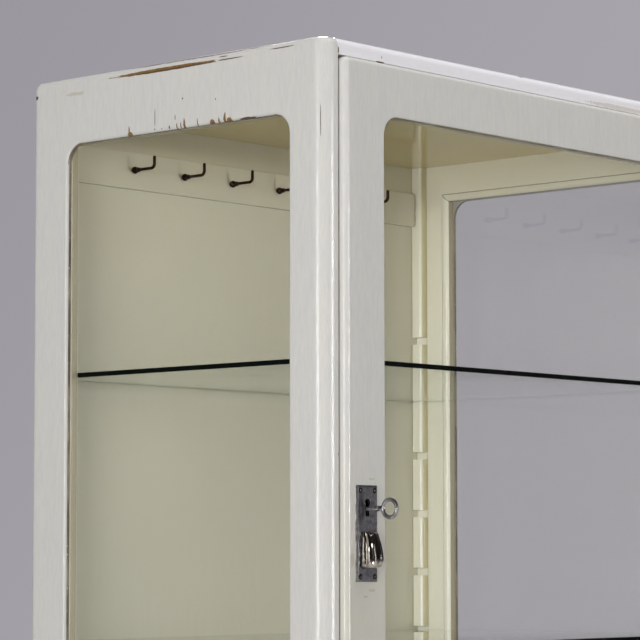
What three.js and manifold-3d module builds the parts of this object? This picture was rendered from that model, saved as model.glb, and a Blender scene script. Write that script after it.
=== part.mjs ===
// Glass door medical cabinet on a stand. Millimetres, +Z up, the front faces -Y.
import * as THREE from 'three';
import { mergeVertices } from 'three/addons/utils/BufferGeometryUtils.js';
import Module from 'manifold-3d';

const wasm = await Module();
wasm.setup();

// Case: two side sheets, with a top deck, a bottom deck and a back between them
const caseWidth = 640;
const caseDepth = 413;
const caseHeight = 952;
const sheetThickness = 20;
const sheetRound = 9; // outer edges of the side sheets
const frontRound = 16; // their front edges, a larger round
const cornerRound = 12; // corners of the side sheets, front edges of the decks
const deckThickness = 28;
const deckLip = 17; // the part of a deck that shows in front, beyond the door
const backThickness = 6;
const backFit = 0.25; // from the back sheet's edges to the side sheets

// Windows in the side sheets and the door: an outer lip, glass and inside beads
const windowLip = 6;
const windowRound = 20;
const glassThickness = 3;
const rebateWidth = 8.5;
const beadRound = 4;
const glazingGap = 0.25; // round the beads, and between their mitred ends
const glassGap = 0.75; // from the glass edge to the rebate
const sideWindowFront = 47;
const sideWindowRear = 54;
const sideWindowTop = 71; // and as much at the bottom

// Door
const doorThickness = 20;
const doorProud = 8;
const doorGap = 2; // at the door's sides
const doorEndGap = 1.3; // over and under the door
const doorRound = 6.5;
const doorCorner = 8;
const doorStile = 56.5;
const doorRail = 52.2;
const doorStopGap = 0.5;

// Shelves and the notched posts that carry them
const postWidth = 10.5;
const postDepth = 16;
const notchFirst = 243; // from the case's top to the bottom of the first notch
const notchPitch = 69.3;
const notchHeight = 8.5;
const notchWeb = 1;
const notchClear = 150; // least height of the last notch over the bottom deck
const shelfThickness = 5;
const shelfEndGap = 0.4;
const shelfFrontGap = 1.5;
const shelfBackGap = 4;
const upperShelfSteps = 1; // notches above the upper shelf
const lowerShelfSteps = 5; // notches above the lower shelf

// Hook rail and hooks
const railHeight = 40;
const railThickness = 8;
const railDrop = 60; // from the case's top
const railRound = 4;
const railEndGap = 2;
const hookCount = 6;
const hookFirst = 102.5; // from the rail's left end
const hookPitch = 76.7;
const hookWire = 1.7; // radius
const hookReach = 33;
const hookBend = 4;
const hookTip = 9;
const hookTail = 6;
const hookBall = 3.7; // radius of the knob at the rail
const hookNeck = 2.7; // radius of the smaller knob after it
const hookNeckStep = 5.3; // from knob to knob
const hookFit = 0.4;

// Stand
const standHeight = 668;
const legSize = 42;
const legFoot = 28;
const legRound = 4;
const legInset = 10;
const legTaperDrop = 12; // straight stretch of the leg below the apron
const apronHeight = 80;
const apronThickness = 20;
const apronSetback = 7;

// Hinges
const hingeHeight = 60;
const hingeInset = 130; // from the door's top and bottom to the hinge's middle
const knuckleRadius = 3.5;
const pinRadius = 1.6;
const pinFit = 0.3;
const pinBall = 2.6;
const leafThickness = 0.8;
const leafMargin = 1; // from the leaf's inner edge to the door's inner face
const knuckleGap = 0.3;
const barrelGap = 1; // from the hinge axis to the door's front face

// Lock plate, pins and pull
const lockBackset = 27.5; // from the door's left edge to the key
const plateWidth = 30.5;
const plateHeight = 92;
const plateThickness = 2.2;
const plateRim = 0.6;
const plateBevel = 2.2;
const plugInset = 5; // corner pins, from the plate's edges
const plugHead = 1.7; // radius
const plugHeadHeight = 0.9;
const plugShank = 0.8; // radius
const plugLength = 10;
const plugFit = 0.3;
const pullTop = 1.5; // from the plate's middle
const pullHeight = 35;
const pullHalfWidth = 12;
const pullReach = 17.5;
const pullRibs = 7;
const ribDepth = 0.08;
const pullTaper = 0.35; // how much the width follows the reach

// Lock, key and bolt
const keyRise = 23.5; // from the plate's middle to the key's axis
const keyRadius = 2.2;
const keyCollar = 2.9; // radius
const keyCollarLength = 7;
const bowRadius = 8.5;
const bowWire = 2; // radius
const bowReach = 27.8; // from the plate's face to the bow's centre
const bitLength = 6.7;
const bitThickness = 2.2;
const bitDepth = 4.2;
const keyholeRadius = 3.6;
const keyholeRise = 6; // from the key's axis to the keyhole's round end
const keyholeDrop = 7.2;
const keyholeSlot = 5.2;
const lockWidth = 43.7;
const lockDepth = 9.7;
const lockWall = 1.5;
const lockFit = 0.3;
const lockClear = 1;
const boltLength = 35;
const boltHeight = 11;
const boltThickness = 5;
const boltThrow = 8;
const strikeThickness = 1.2;
const strikeBorder = 1.7;
const strikeLand = 11; // strike plate beyond the bolt's slot, up and down

// Fineness of the round forms. An arc drawn with n curve segments gets 2n sides
const edgeSteps = 4;
const cornerSteps = 3;
const roundSteps = 16;
const wireSides = 8;
const wireSteps = 16;
const pullRings = 12;
const ribSteps = 4;
const cutOver = 1; // how far a cutting tool runs past the face it opens
const weld = 1e-5; // points closer than this are one

// Places that more than one piece takes from the sizes above
const caseTop = standHeight + caseHeight;
const caseMiddle = standHeight + caseHeight / 2;
const innerHalf = caseWidth / 2 - sheetThickness;
const backFace = caseDepth - backThickness;
const doorBack = doorThickness - doorProud;
const stopFace = doorBack + doorStopGap;
const doorWidth = 2 * (innerHalf - doorGap);
const doorHeight = caseHeight - 2 * (deckLip + doorEndGap);
const innerHeight = caseHeight - 2 * deckThickness;
const floorHeight = standHeight + deckThickness;
const notchCount = Math.floor((caseHeight - deckThickness - notchFirst - notchClear) / notchPitch) + 1;
const plateX = lockBackset - doorWidth / 2;
const plateFace = doorThickness + plateThickness;
const bowCentre = plateFace + bowReach;
const bitSweep = Math.hypot(bitLength, bitThickness / 2);
const boltBottom = keyRise + bitSweep + lockClear;
const boltMiddle = boltBottom + boltHeight / 2;
const boltInset = lockWall + lockClear;
const frontReach = bowCentre + bowRadius + bowWire - doorBack;

// Finishes
function finish(color, roughness, metalness) {
  return new THREE.MeshStandardMaterial({ color, roughness, metalness });
}

const paint = finish(0xc6c4bc, 0.35, 0);
const cream = finish(0xd2ccb2, 0.4, 0);
const bronze = finish(0x3b2c20, 0.45, 0.8);
const agedSteel = finish(0x4a4a4c, 0.45, 0.9);
const brightSteel = finish(0x8b8c90, 0.3, 1);
const chrome = finish(0xb9b7b2, 0.12, 1);
const glass = new THREE.MeshStandardMaterial({
  color: 0xdfe8e2,
  roughness: 0.05,
  metalness: 0,
  transparent: true,
  opacity: 0.3,
});

// Solids: three.js geometry to a manifold and back, for cuts and joins
function toSolid(geometry) {
  const bare = geometry.clone();
  bare.deleteAttribute('normal');
  bare.deleteAttribute('uv');
  const merged = mergeVertices(bare, weld);
  const corners = merged.index.array;
  const kept = [];
  for (let i = 0; i < corners.length; i += 3) {
    const [a, b, c] = [corners[i], corners[i + 1], corners[i + 2]];
    if (a !== b && b !== c && c !== a) kept.push(a, b, c);
  }
  return new wasm.Manifold(new wasm.Mesh({
    numProp: 3,
    vertProperties: Float32Array.from(merged.attributes.position.array),
    triVerts: Uint32Array.from(kept),
  }));
}

function toGeometry(solid) {
  const mesh = solid.getMesh();
  const geometry = new THREE.BufferGeometry();
  geometry.setAttribute('position', new THREE.BufferAttribute(mesh.vertProperties, 3));
  geometry.setIndex(new THREE.BufferAttribute(mesh.triVerts, 1));
  geometry.computeVertexNormals();
  return geometry;
}

function join(...geometries) {
  return toGeometry(geometries.map(toSolid).reduce((sum, solid) => sum.add(solid)));
}

function cut(geometry, ...tools) {
  return toGeometry(tools.map(toSolid).reduce((rest, tool) => rest.subtract(tool), toSolid(geometry)));
}

function overlap(first, second) {
  return toGeometry(toSolid(first).intersect(toSolid(second)));
}

// Shapes
function roundedRect(width, height, radius) {
  const [x, y] = [width / 2, height / 2];
  const shape = new THREE.Shape();
  shape.moveTo(-x + radius, -y);
  shape.absarc(x - radius, -y + radius, radius, -Math.PI / 2, 0);
  shape.absarc(x - radius, y - radius, radius, 0, Math.PI / 2);
  shape.absarc(-x + radius, y - radius, radius, Math.PI / 2, Math.PI);
  shape.absarc(-x + radius, -y + radius, radius, Math.PI, Math.PI * 1.5);
  return shape;
}

function block([x0, x1], [y0, y1], [z0, z1]) {
  const box = new THREE.BoxGeometry(x1 - x0, y1 - y0, z1 - z0);
  return box.translate((x0 + x1) / 2, (y0 + y1) / 2, (z0 + z1) / 2);
}

function slab(shape, [z0, z1]) {
  const plain = { depth: z1 - z0, bevelEnabled: false, curveSegments: cornerSteps };
  return new THREE.ExtrudeGeometry(shape, plain).translate(0, 0, z0);
}

function rod(radius, [z0, z1]) {
  const cylinder = new THREE.CylinderGeometry(radius, radius, z1 - z0, roundSteps);
  return cylinder.rotateX(Math.PI / 2).translate(0, 0, (z0 + z1) / 2);
}

// Turned form about Z from [radius, height] pairs that start and end on the axis
function turned(profile, steps) {
  const points = profile.map(([radius, height]) => new THREE.Vector2(radius, height));
  return new THREE.LatheGeometry(points, steps).rotateX(Math.PI / 2);
}

// Skin over a row of equal rings, closed by a fan at each end
function loft(rings) {
  const count = rings[0].length;
  const points = rings.flat();
  const faces = [];
  for (let row = 0; row < rings.length - 1; row += 1) {
    for (let i = 0; i < count; i += 1) {
      const [a, b] = [row * count + i, row * count + ((i + 1) % count)];
      faces.push(a, b, b + count, a, b + count, a + count);
    }
  }
  for (const [row, flip] of [[0, true], [rings.length - 1, false]]) {
    const middle = new THREE.Vector3();
    rings[row].forEach((point) => middle.addScaledVector(point, 1 / count));
    points.push(middle);
    for (let i = 0; i < count; i += 1) {
      const edge = [row * count + i, row * count + ((i + 1) % count)];
      faces.push(points.length - 1, ...(flip ? edge.reverse() : edge));
    }
  }
  const geometry = new THREE.BufferGeometry().setFromPoints(points);
  geometry.setIndex(faces);
  geometry.computeVertexNormals();
  return geometry;
}

function ringAt(shape, z) {
  const outline = shape.extractPoints(cornerSteps).shape;
  if (outline[0].distanceTo(outline.at(-1)) < weld) outline.pop();
  return outline.map((point) => new THREE.Vector3(point.x, point.y, z));
}

function piece(name, geometry, material, position = [0, 0, 0]) {
  const mesh = new THREE.Mesh(geometry, material);
  mesh.name = name;
  mesh.position.set(...position);
  return mesh;
}

// A glazed sheet lies in XY with its inner face at z = 0 and its rounded outer face up
function sheetBlank({ width, height, thickness, edge, corner }) {
  const core = roundedRect(width - 2 * edge, height - 2 * edge, corner - edge);
  const pillow = new THREE.ExtrudeGeometry(core, {
    depth: thickness,
    bevelThickness: edge,
    bevelSize: edge,
    bevelSegments: edgeSteps,
    curveSegments: cornerSteps,
  });
  pillow.translate(0, 0, -edge);
  return overlap(pillow, block([-width, width], [-height, height], [0, thickness]));
}

function glazingBead(length, thickness) {
  const profile = new THREE.Shape();
  profile.moveTo(glazingGap, thickness);
  profile.lineTo(glazingGap, 0);
  profile.absarc(rebateWidth - beadRound, beadRound, beadRound, -Math.PI / 2, 0);
  profile.lineTo(rebateWidth, thickness);
  const strip = slab(profile, [-length / 2, length / 2]);
  const [x, y, z] = [new THREE.Vector3(1, 0, 0), new THREE.Vector3(0, 1, 0), new THREE.Vector3(0, 0, 1)];
  strip.applyMatrix4(new THREE.Matrix4().makeBasis(y, z, x));
  const place = strip.attributes.position;
  for (let i = 0; i < place.count; i += 1) {
    const mitred = length / 2 - place.getY(i) - glazingGap;
    place.setX(i, Math.sign(place.getX(i)) * mitred);
  }
  return strip;
}

function glazedSheet(names, sheet, opening, tools) {
  const assembly = new THREE.Group();
  const glassBack = sheet.thickness - windowLip - glassThickness;
  const rebate = [opening.width + 2 * rebateWidth, opening.height + 2 * rebateWidth];
  const outline = roundedRect(opening.width, opening.height, windowRound);
  const hole = slab(outline, [-cutOver, sheet.thickness + cutOver]);
  const step = block(
    [-rebate[0] / 2, rebate[0] / 2],
    [-rebate[1] / 2, rebate[1] / 2],
    [-cutOver, sheet.thickness - windowLip],
  );
  hole.translate(opening.x, 0, 0);
  step.translate(opening.x, 0, 0);
  assembly.add(piece(names.sheet, cut(sheetBlank(sheet), hole, step, ...tools), paint));

  const pane = new THREE.BoxGeometry(rebate[0] - 2 * glassGap, rebate[1] - 2 * glassGap, glassThickness);
  assembly.add(piece(names.glass, pane, glass, [opening.x, 0, glassBack + glassThickness / 2]));

  const beads = [
    ['bottom', rebate[0], 0, [0, -rebate[1] / 2]],
    [names.right, rebate[1], Math.PI / 2, [rebate[0] / 2, 0]],
    ['top', rebate[0], Math.PI, [0, rebate[1] / 2]],
    [names.left, rebate[1], -Math.PI / 2, [-rebate[0] / 2, 0]],
  ];
  for (const [end, length, turn, [x, y]] of beads) {
    const strip = glazingBead(length, glassBack);
    const bead = piece(`${names.bead}_${end}_bead`, strip, cream, [opening.x + x, y, 0]);
    bead.rotation.z = turn;
    assembly.add(bead);
  }
  return assembly;
}

// Side sheets. On the left sheet local +X runs to the front, on the right one to the back
const sideSheet = {
  width: caseDepth,
  height: caseHeight,
  thickness: sheetThickness,
  edge: sheetRound,
  corner: cornerRound,
};
const sideOpening = {
  width: caseDepth - sideWindowFront - sideWindowRear,
  height: caseHeight - 2 * sideWindowTop,
};
const sideWindowShift = (sideWindowRear - sideWindowFront) / 2;

// Strike plate: let into the left sheet where the door's bolt comes out
const slotWidth = boltThickness + 2 * lockClear;
const slotHeight = boltHeight + 2 * lockClear;
const strikeWidth = slotWidth + 2 * strikeBorder;
const strikeHeight = slotHeight + 2 * strikeLand;
const boltMiddleY = doorBack - boltInset - boltThickness / 2;
const strikePlace = [caseDepth / 2 - boltMiddleY, boltMiddle];
const mortiseDepth = boltThrow - doorGap + 2 * lockClear;

function strikeParts() {
  const slot = new THREE.BoxGeometry(slotWidth, slotHeight, 2 * mortiseDepth);
  const plate = new THREE.BoxGeometry(strikeWidth, strikeHeight, strikeThickness);
  const bed = new THREE.BoxGeometry(strikeWidth, strikeHeight, 2 * strikeThickness);
  plate.translate(0, 0, strikeThickness / 2);
  return { plate: cut(plate, slot), tools: [slot, bed].map((tool) => tool.translate(...strikePlace, 0)) };
}

// Takes the outer front edge to its larger round. end is 1 where local +X runs to the front, else -1
function frontEdgeTool(end) {
  const [x, z] = [caseDepth / 2 - frontRound, sheetThickness - frontRound];
  const corner = block([x, caseDepth], [-caseHeight, caseHeight], [z, 2 * sheetThickness]);
  const round = rod(frontRound, [-2 * caseHeight, 2 * caseHeight]).rotateX(Math.PI / 2);
  const tool = cut(corner, round.translate(x, 0, z));
  return end > 0 ? tool : tool.rotateZ(Math.PI);
}

function makeSides() {
  const strike = strikeParts();
  const leftNames = { sheet: 'left_side_sheet', glass: 'left_side_glass', bead: 'left_side' };
  const left = glazedSheet(
    { ...leftNames, right: 'front', left: 'rear' },
    sideSheet,
    { ...sideOpening, x: sideWindowShift },
    [...strike.tools, frontEdgeTool(1)],
  );
  left.add(piece('strike_plate', strike.plate, agedSteel, [...strikePlace, 0]));
  left.position.set(-innerHalf, caseDepth / 2, caseMiddle);
  left.rotation.set(Math.PI / 2, 0, -Math.PI / 2, 'ZYX');

  const rightNames = { sheet: 'right_side_sheet', glass: 'right_side_glass', bead: 'right_side' };
  const right = glazedSheet(
    { ...rightNames, right: 'rear', left: 'front' },
    sideSheet,
    { ...sideOpening, x: -sideWindowShift },
    [frontEdgeTool(-1)],
  );
  right.position.set(innerHalf, caseDepth / 2, caseMiddle);
  right.rotation.set(Math.PI / 2, 0, Math.PI / 2, 'ZYX');
  return [left, right];
}

// Decks: one profile, rebated in front as a stop for the door. The bottom deck is the top one turned over
function deckProfile(up) {
  const outer = up * deckThickness;
  const lip = up * (deckThickness - deckLip);
  const start = outer - up * cornerRound;
  const profile = new THREE.Shape();
  profile.moveTo(stopFace, 0);
  profile.lineTo(stopFace, lip);
  profile.lineTo(0, lip);
  profile.lineTo(0, start);
  profile.absarc(cornerRound, start, cornerRound, Math.PI, up * Math.PI / 2, up > 0);
  profile.lineTo(backFace, outer);
  profile.lineTo(backFace, 0);
  return profile;
}

function makeDeck(name, up, height) {
  const deck = piece(name, slab(deckProfile(up), [-innerHalf, innerHalf]), paint, [0, 0, height]);
  deck.rotation.set(Math.PI / 2, 0, Math.PI / 2, 'ZYX');
  return deck;
}

function makeBack() {
  const sheet = new THREE.BoxGeometry(2 * (innerHalf - backFit), backThickness, caseHeight);
  return piece('back_sheet', sheet, cream, [0, backFace + backThickness / 2, caseMiddle]);
}

// Posts: a comb in XZ, solid at the side sheet and notched towards the room
function postOutline(hand) {
  const outline = new THREE.Shape();
  outline.moveTo(0, 0);
  outline.lineTo(hand * postWidth, 0);
  for (let level = notchCount - 1; level >= 0; level -= 1) {
    const bottom = caseHeight - deckThickness - notchFirst - level * notchPitch;
    outline.lineTo(hand * postWidth, bottom);
    outline.lineTo(hand * notchWeb, bottom);
    outline.lineTo(hand * notchWeb, bottom + notchHeight);
    outline.lineTo(hand * postWidth, bottom + notchHeight);
  }
  outline.lineTo(hand * postWidth, innerHeight);
  outline.lineTo(0, innerHeight);
  return outline;
}

function makePosts() {
  const posts = [];
  for (const [side, hand] of [['left', 1], ['right', -1]]) {
    for (const [end, rear] of [['front', stopFace + postDepth], ['back', backFace]]) {
      const comb = slab(postOutline(hand), [0, postDepth]);
      const post = piece(`${end}_${side}_post`, comb, cream, [-hand * innerHalf, rear, floorHeight]);
      post.rotation.x = Math.PI / 2;
      posts.push(post);
    }
  }
  return posts;
}

function makeShelf(name, notchesAbove) {
  const width = 2 * (innerHalf - notchWeb - shelfEndGap);
  const [front, rear] = [stopFace + shelfFrontGap, backFace - shelfBackGap];
  const underside = caseTop - notchFirst - notchesAbove * notchPitch;
  const sheet = new THREE.BoxGeometry(width, rear - front, shelfThickness);
  return piece(name, sheet, glass, [0, (front + rear) / 2, underside + shelfThickness / 2]);
}

// Hook rail, bored for the hooks' tails
const railHalf = innerHalf - postWidth - railEndGap;
const hookPlaces = Array.from({ length: hookCount }, (_, i) => hookFirst - railHalf + i * hookPitch);
const railFace = backFace - railThickness;
const railMiddle = caseTop - railDrop - railHeight / 2;

function makeRail() {
  const face = roundedRect(2 * railHalf, railHeight, railRound);
  for (const x of hookPlaces) {
    face.holes.push(new THREE.Path().absarc(x, 0, hookWire + hookFit, 0, Math.PI * 2));
  }
  const rail = piece('hook_rail', slab(face, [0, railThickness]), cream, [0, backFace, railMiddle]);
  rail.rotation.x = Math.PI / 2;
  return rail;
}

// Hook: drawn in YZ from the tail in the rail to the upturned tip
function hookGeometry() {
  const bendStart = new THREE.Vector3(0, hookBend - hookReach, 0);
  const bendCorner = new THREE.Vector3(0, -hookReach, 0);
  const bendEnd = new THREE.Vector3(0, -hookReach, hookBend);
  const path = new THREE.CurvePath();
  path.add(new THREE.LineCurve3(new THREE.Vector3(0, hookTail, 0), bendStart));
  path.add(new THREE.QuadraticBezierCurve3(bendStart, bendCorner, bendEnd));
  path.add(new THREE.LineCurve3(bendEnd, bendEnd.clone().setZ(bendEnd.z + hookTip)));
  const section = new THREE.Shape();
  section.absarc(0, 0, hookWire, 0, Math.PI * 2);
  const wire = new THREE.ExtrudeGeometry(section, {
    steps: wireSteps,
    extrudePath: path,
    curveSegments: wireSides / 2,
  });
  const knobs = [[hookBall, 0], [hookNeck, hookNeckStep]].map(([radius, step]) => {
    const ball = new THREE.SphereGeometry(radius, wireSides + 2, wireSides - 2);
    return ball.translate(0, -hookBall - hookFit - step, 0);
  });
  return join(wire, ...knobs);
}

function makeHooks() {
  const geometry = hookGeometry();
  return hookPlaces.map((x, i) => piece(`hook_${i + 1}`, geometry, bronze, [x, railFace, railMiddle]));
}

// Stand: tapered legs joined by aprons
const legX = caseWidth / 2 - legInset - legSize / 2;
const legFront = legInset + legSize / 2;
const legBack = caseDepth - legFront;

function legGeometry() {
  const straight = standHeight - apronHeight - legTaperDrop;
  return loft([
    ringAt(roundedRect(legFoot, legFoot, legRound), 0),
    ringAt(roundedRect(legSize, legSize, legRound), straight),
    ringAt(roundedRect(legSize, legSize, legRound), standHeight),
  ]);
}

function makeStand() {
  const stand = [];
  const leg = legGeometry();
  for (const [side, x] of [['left', -legX], ['right', legX]]) {
    for (const [end, y] of [['front', legFront], ['back', legBack]]) {
      stand.push(piece(`${end}_${side}_leg`, leg, paint, [x, y, 0]));
    }
  }
  const setback = legSize / 2 - apronSetback - apronThickness / 2;
  const height = standHeight - apronHeight / 2;
  const long = new THREE.BoxGeometry(2 * legX - legSize, apronThickness, apronHeight);
  const short = new THREE.BoxGeometry(apronThickness, legBack - legFront - legSize, apronHeight);
  stand.push(piece('front_apron', long, paint, [0, legFront - setback, height]));
  stand.push(piece('back_apron', long, paint, [0, legBack + setback, height]));
  stand.push(piece('left_apron', short, paint, [-legX - setback, caseDepth / 2, height]));
  stand.push(piece('right_apron', short, paint, [legX + setback, caseDepth / 2, height]));
  return stand;
}

// Hinges: the leaves lie in the door's gap, the barrel stands in front of it
const hingeX = innerHalf - doorGap / 2;
const hingeY = -doorProud - barrelGap;

function knuckle([z0, z1]) {
  const ring = new THREE.Shape();
  ring.absarc(0, 0, knuckleRadius, 0, Math.PI * 2);
  ring.holes.push(new THREE.Path().absarc(0, 0, pinRadius + pinFit, 0, Math.PI * 2));
  const plain = { depth: z1 - z0, bevelEnabled: false, curveSegments: roundSteps / 2 };
  return new THREE.ExtrudeGeometry(ring, plain).translate(0, 0, z0);
}

function leafGeometry(hand, levels) {
  const [near, far] = [hand * (doorGap / 2 - leafThickness), hand * doorGap / 2];
  const across = [Math.min(near, far), Math.max(near, far)];
  const start = knuckleRadius + knuckleGap;
  const end = doorBack - leafMargin - hingeY;
  const root = (pinRadius + pinFit + knuckleRadius) / 2;
  const leaf = block(across, [start, end], [-hingeHeight / 2, hingeHeight / 2]);
  const tongues = levels.map((level) => block(across, [root, start + knuckleGap], level));
  return join(leaf, ...tongues, ...levels.map(knuckle));
}

function pinGeometry() {
  const half = hingeHeight / 2 + pinFit;
  const ball = (sign) => [0.25, 0.5, 0.75].map((turn) => {
    const angle = Math.PI * turn;
    return [pinBall * Math.sin(angle), sign * (half + pinBall) - pinBall * Math.cos(angle)];
  });
  return turned([
    [0, -half - 2 * pinBall],
    ...ball(-1),
    [pinRadius, -half],
    [pinRadius, half],
    ...ball(1),
    [0, half + 2 * pinBall],
  ], roundSteps);
}

function makeHinges() {
  const third = hingeHeight / 6;
  const ends = [[-3 * third, -third - knuckleGap / 2], [third + knuckleGap / 2, 3 * third]];
  const middle = [[knuckleGap / 2 - third, third - knuckleGap / 2]];
  const rise = doorHeight / 2 - hingeInset;
  const hinges = [];
  for (const [level, z] of [['upper', caseMiddle + rise], ['lower', caseMiddle - rise]]) {
    const place = [hingeX, hingeY, z];
    hinges.push(piece(`${level}_hinge_case_leaf`, leafGeometry(1, ends), brightSteel, place));
    hinges.push(piece(`${level}_hinge_door_leaf`, leafGeometry(-1, middle), brightSteel, place));
    hinges.push(piece(`${level}_hinge_pin`, pinGeometry(), brightSteel, place));
  }
  return hinges;
}

// Door pieces share the door's own frame: X right, Y up, Z out of the inner face
function keyholeTool(radius, rise, depth) {
  const round = rod(radius, depth).translate(0, rise, 0);
  const below = block([-keyholeSlot / 2, keyholeSlot / 2], [-keyholeDrop, rise], depth);
  return join(round, below).translate(plateX, keyRise, 0);
}

const plugPlaces = [
  [-1, 1, 'upper_left'],
  [1, 1, 'upper_right'],
  [-1, -1, 'lower_left'],
  [1, -1, 'lower_right'],
].map(([x, y, name]) => ({
  name,
  x: plateX + x * (plateWidth / 2 - plugInset),
  y: y * (plateHeight / 2 - plugInset),
}));
const plugFoot = plateFace - plugLength;

function plugHole(place) {
  return rod(plugShank + plugFit, [plugFoot - plugFit, plateFace + cutOver]).translate(place.x, place.y, 0);
}

function makePlate() {
  const rim = roundedRect(plateWidth, plateHeight, plateRim);
  const face = roundedRect(plateWidth - 2 * plateBevel, plateHeight - 2 * plateBevel, plateRim);
  const blank = loft([
    ringAt(rim, doorThickness),
    ringAt(rim, doorThickness + plateRim),
    ringAt(face, plateFace),
  ]).translate(plateX, 0, 0);
  const through = [doorThickness - cutOver, plateFace + cutOver];
  const keyhole = keyholeTool(keyholeRadius, keyholeRise, through);
  return piece('lock_plate', cut(blank, keyhole, ...plugPlaces.map(plugHole)), agedSteel);
}

function makePlugs() {
  const seat = plateFace + plugFit / 2;
  const plug = turned([
    [0, plugFoot],
    [plugShank, plugFoot],
    [plugShank, seat],
    [plugHead, seat],
    [plugHead * Math.SQRT1_2, seat + plugHeadHeight * Math.SQRT1_2],
    [0, seat + plugHeadHeight],
  ], wireSides + 2);
  return plugPlaces.map((place) => piece(`plate_pin_${place.name}`, plug, agedSteel, [place.x, place.y, 0]));
}

// Pull: half rounds with ribs, swelling from a narrow top to a full lower end that turns in
function pullRing(height, reach) {
  const halfWidth = pullHalfWidth * (reach / pullReach) ** pullTaper;
  const steps = pullRibs * ribSteps;
  const ring = [];
  for (let i = 0; i <= steps; i += 1) {
    const angle = Math.PI * i / steps;
    const swell = 1 - ribDepth + ribDepth * Math.abs(Math.sin(pullRibs * angle));
    const [across, out] = [halfWidth * swell * Math.cos(angle), reach * swell * Math.sin(angle)];
    ring.push(new THREE.Vector3(across, -height, out));
  }
  return ring;
}

function makePull() {
  const outline = new THREE.SplineCurve([
    new THREE.Vector2(0, 0.5 * pullReach),
    new THREE.Vector2(0.08 * pullHeight, 0.62 * pullReach),
    new THREE.Vector2(0.35 * pullHeight, 0.86 * pullReach),
    new THREE.Vector2(0.68 * pullHeight, pullReach),
    new THREE.Vector2(0.9 * pullHeight, 0.84 * pullReach),
    new THREE.Vector2(pullHeight, 0.42 * pullReach),
  ]);
  const rings = outline.getPoints(pullRings).map((point) => pullRing(point.x, point.y));
  return piece('door_pull', loft(rings), chrome, [plateX, pullTop, plateFace]);
}

// Lock case: a box let into the door's edge and inner face, open for the key and the bolt
const lockBottom = keyRise - bitSweep - lockClear - lockWall;
const lockTop = boltBottom + boltHeight + lockFit + lockWall;
const boltLevel = [boltInset, boltInset + boltThickness];

function lockPocket() {
  const left = -doorWidth / 2;
  return block(
    [left - cutOver, left + lockWidth + lockFit],
    [lockBottom - lockFit, lockTop + lockFit],
    [-cutOver, lockDepth + lockFit],
  );
}

function makeLockCase() {
  const left = -doorWidth / 2;
  const box = block([left, left + lockWidth], [lockBottom, lockTop], [0, lockDepth]);
  const hollow = block(
    [left + lockWall, left + lockWidth - lockWall],
    [lockBottom + lockWall, lockTop - lockWall],
    [lockWall, lockDepth - lockWall],
  );
  const boltSlot = block(
    [left - cutOver, left + lockWall + cutOver],
    [boltBottom - lockFit, boltBottom + boltHeight + lockFit],
    [boltLevel[0] - lockFit, boltLevel[1] + lockFit],
  );
  const through = [lockDepth - 2 * lockWall, lockDepth + cutOver];
  const keyhole = keyholeTool(keyRadius + lockClear, 0, through);
  return piece('lock_case', cut(box, hollow, boltSlot, keyhole), agedSteel);
}

function makeBolt() {
  const left = lockFit - doorWidth / 2;
  const bar = block([left, left + boltLength], [boltBottom, boltBottom + boltHeight], boltLevel);
  return piece('lock_bolt', bar, brightSteel);
}

// Key: shank, collar, bow and a bit that hangs down at rest
function makeKey() {
  const tip = lockWall + lockFit;
  const bowFoot = bowCentre - bowRadius;
  const collarStart = bowFoot - bowWire - keyCollarLength;
  const shank = turned([
    [0, tip],
    [keyRadius, tip],
    [keyRadius, collarStart],
    [keyCollar, collarStart],
    [keyCollar, bowFoot - bowWire],
    [keyRadius, bowFoot],
    [0, bowFoot],
  ], roundSteps);
  const bitStart = (lockDepth - bitDepth) / 2;
  const bit = block([-bitThickness / 2, bitThickness / 2], [-bitLength, 0], [bitStart, bitStart + bitDepth]);
  const bow = new THREE.TorusGeometry(bowRadius, bowWire, wireSides + 2, roundSteps + 4);
  bow.rotateY(Math.PI / 2).translate(0, 0, bowCentre);
  return piece('key', join(shank, bit, bow), brightSteel, [plateX, keyRise, 0]);
}

function makeDoor() {
  const sheet = {
    width: doorWidth,
    height: doorHeight,
    thickness: doorThickness,
    edge: doorRound,
    corner: doorCorner,
  };
  const opening = { width: doorWidth - 2 * doorStile, height: doorHeight - 2 * doorRail, x: 0 };
  const keyway = keyholeTool(keyholeRadius, keyholeRise, [lockDepth, doorThickness + cutOver]);
  const door = glazedSheet(
    { sheet: 'door_sheet', glass: 'door_glass', bead: 'door', right: 'right', left: 'left' },
    sheet,
    opening,
    [lockPocket(), keyway, ...plugPlaces.map(plugHole)],
  );
  door.add(makePlate(), ...makePlugs(), makePull(), makeLockCase(), makeBolt(), makeKey());
  door.position.set(0, doorBack, caseMiddle);
  door.rotation.x = Math.PI / 2;
  return door;
}

const cabinet = new THREE.Group();
cabinet.name = 'glass_door_medical_cabinet';
cabinet.add(
  ...makeSides(),
  makeDeck('top_deck', 1, caseTop - deckThickness),
  makeDeck('bottom_deck', -1, standHeight + deckThickness),
  makeBack(),
  ...makePosts(),
  makeShelf('upper_shelf', upperShelfSteps),
  makeShelf('lower_shelf', lowerShelfSteps),
  makeRail(),
  ...makeHooks(),
  ...makeStand(),
  ...makeHinges(),
  makeDoor(),
);
cabinet.position.y = (frontReach - caseDepth) / 2; // centres the whole depth, key included, on the origin

export default cabinet;
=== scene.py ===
import math

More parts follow.
